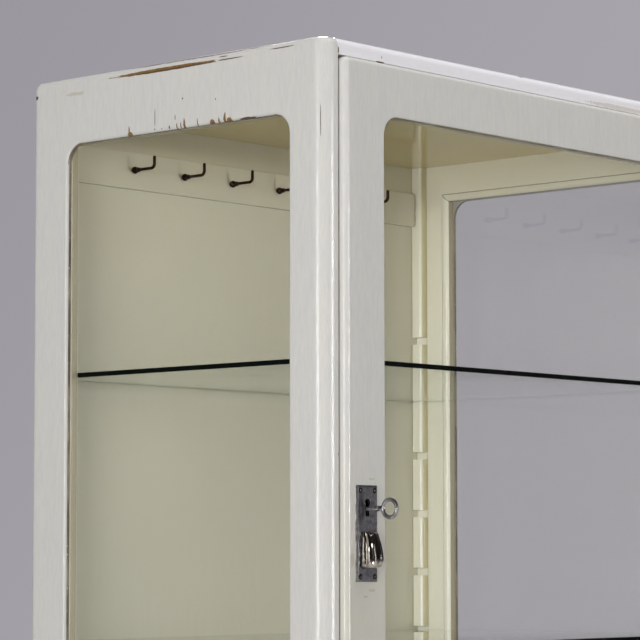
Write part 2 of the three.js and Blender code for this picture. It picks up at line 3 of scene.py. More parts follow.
import bpy
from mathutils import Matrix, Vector


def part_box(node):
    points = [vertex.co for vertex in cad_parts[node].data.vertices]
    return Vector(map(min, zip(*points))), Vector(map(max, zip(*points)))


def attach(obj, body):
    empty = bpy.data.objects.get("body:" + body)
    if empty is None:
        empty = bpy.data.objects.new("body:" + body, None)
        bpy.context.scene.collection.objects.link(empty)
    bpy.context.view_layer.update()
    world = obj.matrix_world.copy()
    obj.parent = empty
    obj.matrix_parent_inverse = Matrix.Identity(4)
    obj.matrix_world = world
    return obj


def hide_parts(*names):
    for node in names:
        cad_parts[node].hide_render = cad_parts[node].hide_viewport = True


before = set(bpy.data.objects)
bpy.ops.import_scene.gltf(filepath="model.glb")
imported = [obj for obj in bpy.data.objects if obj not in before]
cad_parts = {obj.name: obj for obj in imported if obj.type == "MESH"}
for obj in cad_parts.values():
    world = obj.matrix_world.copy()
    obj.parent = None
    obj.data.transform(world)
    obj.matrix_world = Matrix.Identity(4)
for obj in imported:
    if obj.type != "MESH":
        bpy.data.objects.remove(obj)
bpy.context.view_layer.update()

print("frame loaded:", len(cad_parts), "nodes")


# camera at the photograph's place
view = {
    "place": (-2.2555, -1.9195, 1.1224), "yaw": 0.83762, "pitch": 0.085543,
    "roll": -0.0013956, "lens": 155.003, "sensor": 36, "farthest": 60,
}
quarter = math.pi / 2


def setCamera():
    turn = (quarter + view["pitch"], 0, -view["yaw"])
    bpy.ops.object.camera_add(location=view["place"], rotation=turn)
    camera = bpy.context.object
    camera.rotation_euler.rotate_axis("Z", view["roll"])
    camera.data.sensor_width = view["sensor"]
    camera.data.lens = view["lens"]
    camera.data.clip_end = view["farthest"]
    bpy.context.scene.camera = camera


setCamera()
print("camera set")


# picking up, starting and shaping pieces
shaping = {
    "merge": 0.00001,  # corners of a CAD copy closer than this are one
    "flat": 1,  # degrees between faces of a CAD copy that become one face
    "margin": 0.01,  # how far a cutting tool stands past the piece
    "long": 0.01,  # an edge longer than this along an axis runs along it
    "close": 0.0002,
    "facing": 0.5,  # share of a normal that makes a face look along an axis
}
margin = shaping["margin"]


def setMode(mode):
    bpy.ops.object.mode_set(mode=mode)


def clearSelection():
    if bpy.context.mode != "OBJECT":
        setMode("OBJECT")
    bpy.ops.object.select_all(action="DESELECT")


def selectWhole():
    bpy.ops.mesh.select_all(action="SELECT")


def takeUp(piece):
    clearSelection()
    piece.select_set(True)
    bpy.context.view_layer.objects.active = piece


def named(name):
    piece = bpy.context.object
    piece.name = name
    piece.data.name = name
    return piece


def settle(name):  # origin at zero, without turn or scale
    bpy.ops.object.transform_apply(location=True, rotation=True, scale=True)
    return named(name)


def startBox(name, low, high):
    clearSelection()
    low, high = Vector(low), Vector(high)
    bpy.ops.mesh.primitive_cube_add(size=1, location=(low + high) / 2)
    bpy.ops.transform.resize(value=high - low)
    return settle(name)


def startRod(name, radius, length, middle, turn=(0, 0, 0), sides=24):
    clearSelection()
    bpy.ops.mesh.primitive_cylinder_add(
        vertices=sides, radius=radius, depth=length, location=middle, rotation=turn
    )
    return settle(name)


def startBall(name, radius, middle, squash=(1, 1, 1)):
    clearSelection()
    bpy.ops.mesh.primitive_uv_sphere_add(segments=24, ring_count=14, radius=radius, location=middle)
    bpy.ops.transform.resize(value=squash)
    return settle(name)


def startRing(name, radius, sides, middle, turn=(0, 0, 0), stretch=None):
    clearSelection()
    bpy.ops.mesh.primitive_circle_add(
        vertices=sides, radius=radius, fill_type="NGON", location=middle, rotation=turn
    )
    if stretch:
        bpy.ops.transform.resize(value=stretch)
    piece = settle(name)
    setMode("EDIT")  # ready to be pushed out
    selectWhole()
    return piece


def pushOut(x, y, z):  # extrude what is selected
    bpy.ops.mesh.extrude_region_move(TRANSFORM_OT_translate={"value": (x, y, z)})


def endPushing():
    selectWhole()
    bpy.ops.mesh.normals_make_consistent(inside=False)
    setMode("OBJECT")


def nodeCopy(name, node):
    clearSelection()
    piece = bpy.data.objects.new(name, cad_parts[node].data.copy())
    piece.data.name = name
    bpy.context.collection.objects.link(piece)
    takeUp(piece)
    piece.data.materials.clear()
    setMode("EDIT")
    selectWhole()
    bpy.ops.mesh.customdata_custom_splitnormals_clear()
    bpy.ops.mesh.remove_doubles(threshold=shaping["merge"])
    bpy.ops.mesh.dissolve_limited(angle_limit=math.radians(shaping["flat"]))
    setMode("OBJECT")
    return piece


def copyPiece(piece, name, shift):
    takeUp(piece)
    bpy.ops.object.duplicate(linked=False)
    bpy.ops.transform.translate(value=shift)
    return settle(name)


def startPick(piece, kind):
    takeUp(piece)
    setMode("EDIT")
    bpy.ops.mesh.select_mode(type=kind)
    bpy.ops.mesh.select_all(action="DESELECT")
    setMode("OBJECT")


def pickPoints(piece, wanted):
    startPick(piece, "VERT")
    for spot in piece.data.vertices:
        spot.select = wanted(spot.co)
    setMode("EDIT")


def roundEdges(piece, wanted, radius, steps):
    startPick(piece, "EDGE")
    spots = piece.data.vertices
    for edge in piece.data.edges:
        edge.select = wanted(*(spots[i].co for i in edge.vertices))
    setMode("EDIT")
    bpy.ops.mesh.bevel(offset=radius, segments=steps, affect="EDGES")
    setMode("OBJECT")


def near(first, second):
    return abs(first - second) < shaping["close"]


def along(a, b, axis):  # an edge's two ends lie apart on this axis
    return abs(a[axis] - b[axis]) > shaping["long"]


def flush(a, b, axis, level):  # both ends lie in one plane
    return near(a[axis], level) and near(b[axis], level)


def grow(low, high, amounts):
    amounts = Vector(amounts)
    return Vector(low) - amounts, Vector(high) + amounts


def applyAll(piece):
    takeUp(piece)
    for modifier in list(piece.modifiers):
        bpy.ops.object.modifier_apply(modifier=modifier.name)


def workWith(piece, tool, operation):
    change = piece.modifiers.new("cut", "BOOLEAN")
    change.operation = operation
    change.solver = "EXACT"
    change.object = tool
    applyAll(piece)
    bpy.data.objects.remove(tool)


def cutAway(piece, tool):
    workWith(piece, tool, "DIFFERENCE")


def joinOn(piece, tool):
    workWith(piece, tool, "UNION")


def smoothFaces(piece, sharpest=40):
    takeUp(piece)
    bpy.ops.object.shade_smooth_by_angle(angle=math.radians(sharpest))
    even = piece.modifiers.new("even", "WEIGHTED_NORMAL")
    even.keep_sharp = True
    applyAll(piece)


def softenEdges(piece, width, steps=2, sharpest=35):
    arris = piece.modifiers.new("arris", "BEVEL")
    arris.width = width
    arris.segments = steps
    arris.limit_method = "ANGLE"
    arris.angle_limit = math.radians(sharpest)
    applyAll(piece)
    smoothFaces(piece)


def coat(piece, finishes, choose=None):
    piece.data.materials.clear()
    for finish in finishes:
        piece.data.materials.append(finish)
    for face in piece.data.polygons:
        face.material_index = choose(face.center, face.normal) if choose else 0


def hang(piece, body, slot, *nodes):
    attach(piece, body)
    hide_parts(*nodes)


# nodes and groups that several finishes share
def shade(red, green, blue):
    def linear(part):
        part /= 255
        return part / 12.92 if part <= 0.04045 else ((part + 0.055) / 1.055) ** 2.4

    return (linear(red), linear(green), linear(blue), 1)


current = {}  # holds the node tree that is being built


def workOn(tree):
    current["tree"] = tree
    tree.nodes.clear()


def newNode(kind):
    return current["tree"].nodes.new("ShaderNode" + kind)


def link(source, target):
    if isinstance(source, (int, float, tuple, list)):
        target.default_value = source
    else:
        current["tree"].links.new(source, target)


def feed(node, *sources):
    for socket, source in zip(node.inputs, sources):
        link(source, socket)


def calc(operation, first, second=0.0):
    node = newNode("Math")
    node.operation = operation
    feed(node, first, second)
    return node.outputs[0]


def scaled(mask, share):
    return calc("MULTIPLY", mask, share)


def vector(operation, first, second=(0, 0, 0)):
    node = newNode("VectorMath")
    node.operation = operation
    feed(node, first, second)
    single = operation in ("LENGTH", "DOT_PRODUCT")
    return node.outputs["Value" if single else "Vector"]


def ramp(value, low, high, start=0.0, end=1.0):
    node = newNode("MapRange")
    node.interpolation_type = "SMOOTHSTEP"
    feed(node, value, low, high, start, end)
    return node.outputs[0]


def noise(place, scale, detail=4.0, rough=0.6):
    node = newNode("TexNoise")
    settings = {"Vector": place, "Scale": scale, "Detail": detail, "Roughness": rough}
    for label, value in settings.items():
        link(value, node.inputs[label])
    return node.outputs[0]


def blend(factor, first, second):
    node = newNode("Mix")
    node.data_type = "RGBA"
    for number, source in ((0, factor), (6, first), (7, second)):
        link(source, node.inputs[number])
    return node.outputs[2]


def mixShader(factor, first, second, target):
    node = newNode("MixShader")
    feed(node, factor, first, second)
    link(node.outputs[0], target)


def objectPlace():
    return newNode("TexCoord").outputs["Object"]


def axisParts(place):
    node = newNode("SeparateXYZ")
    link(place, node.inputs[0])
    return node.outputs


def startGroup(name, inputs, outputs):
    group = bpy.data.node_groups.new(name, "ShaderNodeTree")
    workOn(group)
    for label, value in inputs.items():
        kind = "NodeSocketVector" if isinstance(value, tuple) else "NodeSocketFloat"
        socket = group.interface.new_socket(label, in_out="INPUT", socket_type=kind)
        socket.default_value = value
    for label in outputs:
        group.interface.new_socket(label, in_out="OUTPUT", socket_type="NodeSocketFloat")
    given = group.nodes.new("NodeGroupInput").outputs
    return group, given, group.nodes.new("NodeGroupOutput").inputs


def makeBrushGrain():  # long fine streaks left by a brush, run by the stretch
    group, given, shown = startGroup("brushGrain", {"Stretch": (1, 1, 1)}, ["Streak", "Band"])
    place = vector("MULTIPLY", objectPlace(), given["Stretch"])
    fine = noise(place, 1.0, 5.0, 0.65)
    broad = noise(place, 0.17, 3.0, 0.5)
    link(ramp(fine, 0.36, 0.66), shown["Streak"])
    link(ramp(broad, 0.38, 0.64), shown["Band"])
    return group


def makeAgedCoat():  # blotches, fine specks and the skin of old gloss paint
    group, given, shown = startGroup(
        "agedCoat",
        {"Blotch Scale": 9.0, "Speck Scale": 240.0, "Speck Share": 0.2},
        ["Blotch", "Speck", "Skin"],
    )
    place = objectPlace()
    blotch = noise(place, given["Blotch Scale"], 5.0, 0.6)
    cells = newNode("TexVoronoi")
    link(place, cells.inputs["Vector"])
    link(given["Speck Scale"], cells.inputs["Scale"])
    rare = noise(place, 35.0, 2.0)
    limit = calc("MULTIPLY", rare, given["Speck Share"])
    dot = calc("LESS_THAN", cells.outputs["Distance"], limit)
    skin = noise(place, 420.0, 2.0, 0.4)
    link(ramp(blotch, 0.4, 0.68), shown["Blotch"])
    link(dot, shown["Speck"])
    link(skin, shown["Skin"])
    return group


def makeWornPatch():  # one ragged spot at a place, where the coat has gone
    group, given, shown = startGroup(
        "wornPatch",
        {"Centre": (0, 0, 0), "Half": (0.01, 0.01, 0.01), "Ragged": 0.6, "Grain": (300, 300, 300)},
        ["Mask"],
    )
    place = objectPlace()
    away = vector("SUBTRACT", place, given["Centre"])
    far = vector("LENGTH", vector("DIVIDE", away, given["Half"]))
    fibres = vector("MULTIPLY", place, given["Grain"])
    jag = calc("SUBTRACT", noise(fibres, 1.0, 4.0), 0.5)
    jag = calc("MULTIPLY", jag, given["Ragged"])
    edge = calc("ADD", far, jag)
    link(ramp(edge, 1.0, 0.86), shown["Mask"])
    return group


def makeEdgeRub():  # rubbed through along the edges of a box
    group, given, shown = startGroup(
        "edgeRub", {"Low": (0, 0, 0), "High": (1, 1, 1), "Reach": 0.003, "Share": 0.5}, ["Mask"]
    )
    place = objectPlace()
    inner = vector("SUBTRACT", place, given["Low"])
    outer = vector("SUBTRACT", given["High"], place)
    x, y, z = axisParts(vector("MINIMUM", inner, outer))
    low = calc("MINIMUM", x, y)
    high = calc("MAXIMUM", x, y)
    second = calc("MAXIMUM", low, calc("MINIMUM", high, z))
    close = ramp(second, given["Reach"], 0.0)
    patches = noise(place, 16.0, 3.0)
    ragged = noise(place, 210.0, 4.0)
    chance = scaled(calc("ADD", patches, ragged), 0.5)
    limit = calc("SUBTRACT", 0.78, given["Share"])
    some = ramp(chance, limit, calc("ADD", limit, 0.03))
    link(calc("MULTIPLY", close, some), shown["Mask"])
    return group


brushGrain = makeBrushGrain()
agedCoat = makeAgedCoat()
wornPatch = makeWornPatch()
edgeRub = makeEdgeRub()


def useGroup(group, *values):  # values in the order of the group's inputs
    node = newNode("Group")
    node.node_tree = group
    feed(node, *values)
    return node.outputs


def startFinish(name):
    finish = bpy.data.materials.new(name)
    finish.use_nodes = True
    workOn(finish.node_tree)
    shown = newNode("OutputMaterial")
    skin = newNode("BsdfPrincipled")
    link(skin.outputs[0], shown.inputs[0])
    return finish, skin.inputs


def addBump(skin, height, strength, distance):
    bump = newNode("Bump")
    link(strength, bump.inputs["Strength"])
    link(distance, bump.inputs["Distance"])
    link(height, bump.inputs["Height"])
    link(bump.outputs[0], skin["Normal"])


def dress(skin, colour, rough, *bump):
    link(colour, skin["Base Color"])
    link(rough, skin["Roughness"])
    addBump(skin, *bump)


# painted finishes
paintTones = {
    "speck": shade(120, 108, 92), "ochre": shade(136, 102, 54),
    "bareWood": shade(92, 68, 48), "grime": shade(70, 60, 48),
    "stain": shade(160, 146, 118), "yellowTone": shade(188, 184, 170),
    "crumb": shade(178, 172, 156),
}
paintForm = {
    "aged": (7.0, 260.0, 0.1),  # scale of blotches, scale and share of specks
    "rubReach": 0.0035, "yellowMost": 0.7, "fleckScale": 380.0, "stainShare": 0.4,
    "grimeShare": 0.7, "bareRough": 0.35,
    "heights": (0.3, 0.3, 0.2, 1.2),  # of streak, band and skin, and depth where bare
    "relief": 0.0004,
}


def tonesOf(*tones):  # base, streaks, broad bands and blotches
    labels = ("base", "streakTone", "bandTone", "blotchTone")
    return {label: shade(*tone) for label, tone in zip(labels, tones)}


whiteCoat = {
    **tonesOf((198, 196, 192), (184, 184, 183), (203, 197, 183), (192, 188, 177)),
    "streak": 0.6, "band": 0.18, "blotch": 0.12, "relief": 0.35, "speck": 0.5,
    "shine": (0.14, 0.2),
}
# a lighter, faintly lilac copy of the white paint for the top deck: painted light from above and a
# painted reflection on its front band
litDeckCoat = {
    **whiteCoat,
    **tonesOf((220, 218, 222), (212, 210, 213), (217, 213, 212), (215, 212, 209)),
}
creamCoat = {
    **tonesOf((221, 217, 199), (213, 208, 188), (216, 210, 186), (216, 209, 184)),
    "streak": 0.4, "band": 0.15, "blotch": 0.25, "relief": 0.3, "speck": 0.2,
    "shine": (0.16, 0.24),
}
# a yellower copy of the cream for the inside of the top: painted warm bounce light
ceilingBounceCoat = {
    **creamCoat,
    **tonesOf((230, 210, 158), (221, 200, 146), (221, 200, 146), (219, 196, 138)),
    "shine": (0.04, 0.07), "relief": 0.04,
}
# a lighter copy of the cream for the posts, the beads and the right side's inside: painted light on
# faces that look towards the lamps
litCreamCoat = {
    **creamCoat,
    **tonesOf((243, 240, 227), (236, 231, 214), (238, 232, 212), (236, 230, 208)),
    "shine": (0.1, 0.16),
}
# a darker, yellower copy of that cream for the posts' front and back sides: painted shade
shadedPostSideCoat = {
    **litCreamCoat,
    **tonesOf((216, 208, 172), (208, 199, 160), (208, 199, 158), (204, 194, 152)),
}
# a darker copy of the cream for the beads' sides towards the opening: painted shade
shadedSillCoat = {
    **creamCoat,
    **tonesOf((184, 174, 150), (172, 161, 136), (172, 161, 136), (164, 152, 124)),
}
upright = (680, 680, 60)  # streaks that run up and down
lying = (60, 680, 680)  # streaks that run along the front
torn = {
    "spike": (700, 700, 110),  # flakes that follow the upright grain
    "run": (90, 110, 900),  # flakes that follow a long edge
    "crumb": (420, 420, 420),
}


def wornMask(tone, marks):  # all the marks of one tone together
    gone = None
    for kind, way, centre, half, ragged in marks:
        if kind == tone:
            patch = useGroup(wornPatch, centre, half, ragged, torn[way])["Mask"]
            gone = patch if gone is None else calc("MAXIMUM", gone, patch)
    return gone


def makePaint(name, tones, stretch, node=None, rub=0.2, marks=(), yellow=None):
    finish, skin = startFinish(name)
    grain = useGroup(brushGrain, stretch)
    aged = useGroup(agedCoat, *paintForm["aged"])
    colour = tones["base"]
    for mask, share, tone in (
        (grain["Streak"], tones["streak"], tones["streakTone"]),
        (grain["Band"], tones["band"], tones["bandTone"]),
        (aged["Blotch"], tones["blotch"], tones["blotchTone"]),
        (aged["Speck"], tones["speck"], paintTones["speck"]),
    ):
        colour = blend(scaled(mask, share), colour, tone)
    if yellow:  # more of the yellow tone lower down
        level = axisParts(objectPlace())[2]
        old = ramp(level, *yellow, 0.0, paintForm["yellowMost"])
        colour = blend(old, colour, paintTones["yellowTone"])
    bare = 0.0
    if node:
        low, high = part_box(node)
        bare = useGroup(edgeRub, tuple(low), tuple(high), paintForm["rubReach"], rub)["Mask"]
        colour = blend(bare, colour, paintTones["bareWood"])
    fleck = noise(objectPlace(), paintForm["fleckScale"])
    dirt = scaled(ramp(fleck, 0.35, 0.65), paintForm["grimeShare"])
    stained = wornMask("stain", marks)
    if stained:
        faint = scaled(stained, paintForm["stainShare"])
        colour = blend(faint, colour, paintTones["stain"])
    for tone in ("ochre", "bareWood"):
        gone = wornMask(tone, marks)
        if gone:
            wood = blend(dirt, paintTones[tone], paintTones["grime"])
            colour = blend(gone, colour, wood)
            bare = calc("MAXIMUM", bare, gone)
    shine = ramp(aged["Blotch"], 0.0, 1.0, *tones["shine"])
    shine = calc("ADD", shine, scaled(bare, paintForm["bareRough"]))
    streak, band, coatSkin, depth = paintForm["heights"]
    height = scaled(grain["Streak"], streak)
    height = calc("ADD", height, scaled(grain["Band"], band))
    height = calc("ADD", height, scaled(aged["Skin"], coatSkin))
    height = calc("SUBTRACT", height, scaled(bare, depth))
    dress(skin, colour, shine, height, tones["relief"], paintForm["relief"])
    return finish


# worn places on the left side, in metres, by tone and grain: y, z, half sizes, raggedness
sideX = -0.3195
sideDeep = 0.01
sideWear = {
    ("ochre", "run"): [(0.033, 1.6118, 0.08, 0.0022, 0.7)],
    ("ochre", "spike"): [
        (0.085, 1.551, 0.0012, 0.0088, 0.9), (0.084, 1.549, 0.004, 0.0045, 1.1),
        (0.0165, 1.549, 0.0011, 0.007, 0.9), (0.006, 1.549, 0.0017, 0.01, 1.0),
        (-0.0125, 1.549, 0.0009, 0.008, 0.8), (-0.033, 1.549, 0.0036, 0.0052, 1.9),
        (-0.042, 1.549, 0.0014, 0.0056, 1.3), (-0.05, 1.549, 0.002, 0.0092, 1.4),
        (-0.056, 1.549, 0.0045, 0.0042, 1.9),
    ],
    ("bareWood", "run"): [
        (0.02, 1.6108, 0.066, 0.0009, 0.6), (-0.056, 1.6114, 0.021, 0.0006, 0.9),
        (-0.048, 1.6148, 0.006, 0.0006, 0.9), (-0.128, 1.6138, 0.017, 0.0006, 1.2),
        (-0.08, 1.5496, 0.012, 0.0013, 1.4),
    ],
    ("bareWood", "spike"): [
        (0.0477, 1.564, 0.0005, 0.01, 0.4), (0.019, 1.561, 0.0006, 0.003, 0.6),
        (0.027, 1.552, 0.001, 0.0018, 0.9), (0.011, 1.552, 0.0007, 0.0035, 0.8),
    ],
    ("bareWood", "crumb"): [
        (0.048, 1.552, 0.0009, 0.0009, 0.6), (0.038, 1.5515, 0.0008, 0.0007, 0.6),
        (0.0085, 1.579, 0.001, 0.001, 0.6), (-0.0375, 1.5732, 0.0007, 0.0011, 0.6),
    ],
    ("stain", "run"): [(0.165, 1.6015, 0.014, 0.0018, 2.2)],
}
# elsewhere: tone, grain, centre, half size, raggedness
sideMarks = [
    ("bareWood", "run", (-0.313, -0.02, 1.62), (0.008, 0.15, 0.0034), 0.9),
    ("bareWood", "crumb", (-0.3165, 0.2252, 1.6036), (0.01, 0.0032, 0.0024), 0.8),
    ("bareWood", "spike", (-0.3174, -0.175, 1.5364), (0.004, 0.0003, 0.018), 0.9),
]
for (tone, way), places in sideWear.items():
    for y, z, halfY, halfZ, ragged in places:
        sideMarks.append((tone, way, (sideX, y, z), (sideDeep, halfY, halfZ), ragged))
deckMarks = [
    ("bareWood", "crumb", (-0.238, -0.1822, 1.6035), (0.007, 0.004, 0.0007), 0.6),
    ("bareWood", "crumb", (-0.236, -0.1822, 1.6085), (0.0006, 0.004, 0.0012), 0.6),
    ("bareWood", "crumb", (-0.011, -0.175, 1.6185), (0.004, 0.008, 0.001), 0.6),
    ("bareWood", "crumb", (-0.2994, -0.182, 1.607), (0.0007, 0.006, 0.0036), 0.6),
    ("stain", "crumb", (0.155, -0.1825, 1.606), (0.06, 0.006, 0.0026), 1.2),
]
doorMarks = [
    ("stain", "crumb", (-0.262, -0.19, 1.196), (0.005, 0.01, 0.001), 0.9),
    ("stain", "crumb", (-0.271, -0.19, 1.084), (0.0036, 0.01, 0.0012), 0.9),
    ("stain", "crumb", (-0.2905, -0.19, 1.119), (0.003, 0.01, 0.007), 1.2),
    ("stain", "crumb", (-0.262, -0.19, 1.09), (0.005, 0.01, 0.0018), 0.9),
]
doorYellow = (1.3, 1.0)  # heights between which the door's paint turns

sidePaint = makePaint("side_paint", whiteCoat, upright, "left_side_sheet", 0.13, sideMarks)
farSidePaint = makePaint("far_side_paint", whiteCoat, upright, "right_side_sheet")
litDeckPaint = makePaint("deck_paint", litDeckCoat, lying, "top_deck", 0.12, deckMarks)
floorPaint = makePaint("bottom_deck_paint", whiteCoat, lying, "bottom_deck")
doorPaint = makePaint("door_paint", whiteCoat, upright, "door_sheet", 0.12, doorMarks, doorYellow)
standPaint = makePaint("stand_paint", whiteCoat, upright)
backPaint = makePaint("back_paint", whiteCoat, upright, "back_sheet")
creamUpright = makePaint("cream_upright", creamCoat, upright)
creamLying = makePaint("cream_lying", creamCoat, lying)
litCreamPaint = makePaint("lit_cream_paint", litCreamCoat, upright)
shadedPostSidePaint = makePaint("shaded_post_side_paint", shadedPostSideCoat, upright)
creamCeilingBounce = makePaint("cream_ceiling_bounce", ceilingBounceCoat, lying)
shadedSillPaint = makePaint("shaded_sill_paint", shadedSillCoat, upright)


def makeReveal(name, light, dark):  # the wall of an opening, smeared with old putty, and darker than the paint round it as painted shade
    finish, skin = startFinish(name)
    place = objectPlace()
    smear = ramp(noise(place, 24.0, 4.0, 0.5), 0.3, 0.65)
    colour = blend(smear, shade(*light), shade(*dark))
    crumbs = ramp(noise(place, 260.0, 2.0, 0.5), 0.64, 0.7)
    colour = blend(crumbs, colour, paintTones["crumb"])
    dress(skin, colour, ramp(smear, 0.0, 1.0, 0.4, 0.75), smear, 0.3, 0.0005)
    return finish


revealGrimeAndShade = makeReveal("reveal_grime_and_shade", (140, 129, 108), (94, 84, 69))
doorReveal = makeReveal("door_reveal", (196, 188, 164), (150, 140, 116))


# metals and glass
metalForm = {
    "pitScale": 900.0, "pitShare": 0.8, "pitTone": shade(22, 18, 15),
    "ringHalf": (0.0029, 0.02, 0.0029), "ringRagged": 0.5, "ringTone": shade(20, 17, 15),
    "relief": 0.00012,
}


def makeMetal(name, light, dark, rough, scale, pits, brush=None, uneven=0.3, rings=()):
    finish, skin = startFinish(name)
    place = objectPlace()
    cloud = ramp(noise(place, scale, 6.0, 0.7), 0.34, 0.68)
    colour = blend(cloud, shade(*light), shade(*dark))
    aged = useGroup(agedCoat, scale * 2.0, metalForm["pitScale"], pits)
    pitted = scaled(aged["Speck"], metalForm["pitShare"])
    colour = blend(pitted, colour, metalForm["pitTone"])
    for spot in rings:  # darker round a pin's head
        ring = useGroup(wornPatch, spot, metalForm["ringHalf"], metalForm["ringRagged"])["Mask"]
        colour = blend(ring, colour, metalForm["ringTone"])
    link(1.0, skin["Metallic"])
    height = calc("ADD", scaled(cloud, 0.5), aged["Blotch"])
    if brush:
        grain = useGroup(brushGrain, brush)
        height = calc("ADD", height, grain["Streak"])
    height = calc("SUBTRACT", height, aged["Speck"])
    shine = ramp(cloud, 0.0, 1.0, *rough)
    dress(skin, colour, shine, height, uneven, metalForm["relief"])
    return finish


pinPlaces = ["%s_%s" % (level, side) for level in ("upper", "lower") for side in ("left", "right")]


def pinSpot(place):
    low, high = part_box("plate_pin_" + place)
    return tuple((low + high) / 2)


pinSpots = [pinSpot(place) for place in pinPlaces]
plateSteel = makeMetal(
    "plate_steel", (146, 144, 149), (84, 81, 86), (0.3, 0.55), 120.0, 0.3, rings=pinSpots
)
# a lighter steel for the plate's left rim: painted highlight
plateRimHighlight = makeMetal("plate_rim_highlight", (206, 204, 202), (140, 137, 134), (0.35, 0.6), 90.0, 0.2)
pullChrome = makeMetal(
    "pull_chrome", (206, 200, 192), (150, 140, 128), (0.07, 0.15), 90.0, 0.0, uneven=0.015
)
keySteel = makeMetal("key_steel", (198, 196, 199), (132, 130, 133), (0.22, 0.42), 200.0, 0.03)
shankSteel = makeMetal("shank_steel", (216, 213, 214), (160, 157, 158), (0.45, 0.6), 200.0, 0.03)
pinSteel = makeMetal("pin_steel", (120, 117, 116), (60, 58, 57), (0.25, 0.4), 300.0, 0.2)
# dark steel for the lock case; its darkness is partly painted shade for what shows through the
# keyhole
lockSteelShaded = makeMetal("lock_steel_shaded", (66, 64, 64), (38, 36, 36), (0.4, 0.6), 120.0, 0.3)
hingeSteel = makeMetal(
    "hinge_steel", (168, 165, 160), (104, 98, 90), (0.28, 0.5), 140.0, 0.2, (30, 30, 900)
)
hookBronze = makeMetal("hook_bronze", (62, 42, 32), (34, 23, 18), (0.3, 0.5), 260.0, 0.2)
glassForm = {
    "bend": 1.5, "waveScale": 7.0,
    "wave": (0.04, 0.001),  # strength and height
    "passed": (0.93, 0.94, 0.93, 1),  # what a pane lets through to lit things
}


def makeGlass(name, tint):
    finish, skin = startFinish(name)
    glass = skin["Normal"].node.outputs[0]
    shown = glass.links[0].to_node
    link(tint, skin["Base Color"])
    link(0.0, skin["Roughness"])
    link(glassForm["bend"], skin["IOR"])
    link(1.0, skin["Transmission Weight"])
    wave = noise(objectPlace(), glassForm["waveScale"], 1.0)
    addBump(skin, wave, *glassForm["wave"])
    clear = newNode("BsdfTransparent")
    link(glassForm["passed"], clear.inputs[0])
    ways = newNode("LightPath").outputs
    passing = calc("MAXIMUM", ways["Is Shadow Ray"], ways["Is Diffuse Ray"])
    mixShader(passing, glass, clear.outputs[0], shown.inputs[0])
    return finish


def makeCutEdge(name, light, dark, rough, gloss):
    finish, skin = startFinish(name)
    strokes = vector("MULTIPLY", objectPlace(), (40, 40, 900))
    scratch = ramp(noise(strokes, 1.0, 4.0), 0.35, 0.7)
    colour = blend(scratch, shade(*light), shade(*dark))
    link(gloss, skin["Specular IOR Level"])
    shine = ramp(scratch, 0.0, 1.0, rough, rough + 0.15)
    dress(skin, colour, shine, scratch, 0.15, 0.0001)
    return finish


windowGlass = makeGlass("window_glass", (0.985, 0.99, 0.985, 1))
shelfGlass = makeGlass("shelf_glass", (0.95, 0.975, 0.96, 1))
# the shelves' front and left edges near black as painted shade, their back and right edges pale
# green as painted light, in place of light through the glass edge
shelfShadedEdge = makeCutEdge("shelf_shaded_edge", (9, 15, 12), (4, 7, 5), 0.12, 0.06)
shelfLitEdge = makeCutEdge("shelf_lit_edge", (150, 168, 150), (118, 142, 124), 0.3, 0.5)
# near black for the walls of the keyhole: painted shade in the hole
keyholeShade = makeCutEdge("keyhole_shade", (14, 12, 11), (7, 6, 6), 0.6, 0.1)
print("finishes made")


# keyhole: a round hole with a slot under it
keyhole = {
    "rise": 0.006, "radius": 0.0036, "slot": 0.0052, "drop": 0.0072,
    "past": 0.001,  # how far the cut starts before the surface
    "wall": (0.006, 0.0135),  # half sizes of the box that holds the hole's wall
}


def keyAxis():
    low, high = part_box("key")
    return (low.x + high.x) / 2, (low.z + high.z) / 2


def inKeyhole(centre, normal):  # on the wall of the hole through plate and door
    x, z = keyAxis()
    wide, tall = keyhole["wall"]
    close = abs(centre.x - x) < wide and abs(centre.z - z) < tall
    return close and abs(normal.y) < shaping["facing"]


def keyholeTool(name, front, rear):
    x, z = keyAxis()
    top = z + keyhole["rise"]
    middle = (x, (front + rear) / 2, top)
    hole = startRod(name, keyhole["radius"], rear - front, middle, (quarter, 0, 0), 32)
    half = keyhole["slot"] / 2
    slot = startBox(name + "Slot", (x - half, front, z - keyhole["drop"]), (x + half, rear, top))
    joinOn(hole, slot)
    return hole


# side sheets and door: rounded sheets with a glazed opening
glazing = {
    "cover": 0.00775,  # the pane under the lip
    "rebate": 0.0085, "lip": 0.006, "round": 0.02, "arris": 0.0005,
    "through": 0.05,  # how far the cutters reach past the pane
    "lining": (0.0135, 0.0125),  # depth from the inner face and reach of the inside's paint
    "skin": 0.0014,  # depth of what counts as the inner face
    "slack": 0.0003,
}
sideSheet = {
    "corner": 0.009, "edge": 0.008, "frontEdge": 0.016,
    "frontSlack": 0.00006,  # keeps the rod's ends clear of the sheet's
    "lipRound": 0.0036, "seatOpen": 0.002, "boltFit": 0.0003, "slotDeep": 0.01,
    "slotEnd": 0.02,
}
doorSheet = {
    "corner": 0.0065, "edge": 0.0055, "lipRound": 0.0016, "lockFit": 0.0003,
    "pocketOpen": 0.002,
}


